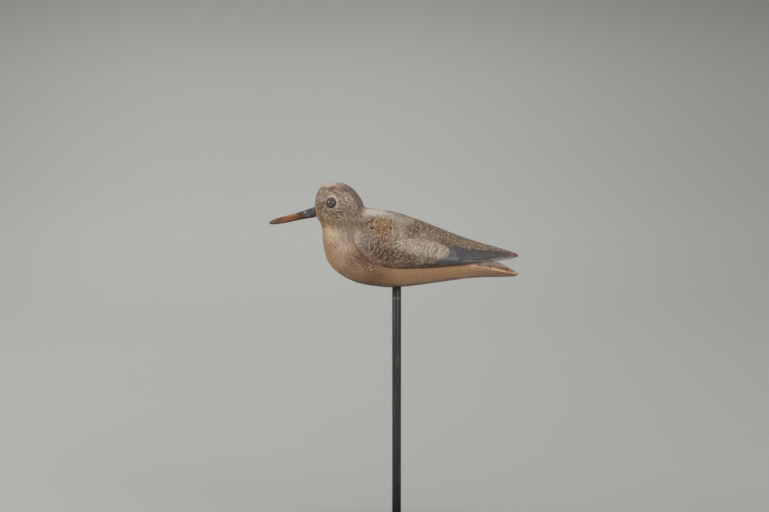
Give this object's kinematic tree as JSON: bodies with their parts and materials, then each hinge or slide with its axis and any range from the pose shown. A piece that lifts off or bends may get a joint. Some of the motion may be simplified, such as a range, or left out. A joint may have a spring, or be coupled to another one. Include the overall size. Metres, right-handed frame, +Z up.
{
  "type": "shorebird decoy on stand",
  "caption": "Carved and painted wooden shorebird decoy with folded wings, a straight bill and glass eyes, held up by a slim steel rod on a round foot plate.",
  "frame": {"origin": "middle of the foot plate's underside, below the rod's axis", "axes": "+Z up along the rod, -X toward the bill, -Y toward the bird's left side"},
  "size_m": [0.25, 0.12, 0.3665],
  "materials": {
    "painted_wood": "old satin paint, brown feather pattern over a tan breast",
    "bill_wood": "satin paint, orange-brown toward the tip and blue-black at the face",
    "eye_glass": "dark brown, polished",
    "stand_metal": "dark grey satin with light scuffs"
  },
  "bodies": {
    "root": {"decoy_body": "painted_wood", "bill": "bill_wood", "glass_eye_left": "eye_glass", "glass_eye_right": "eye_glass", "stand_rod": "stand_metal", "stand_base": "stand_metal"}
  },
  "joints": []
}
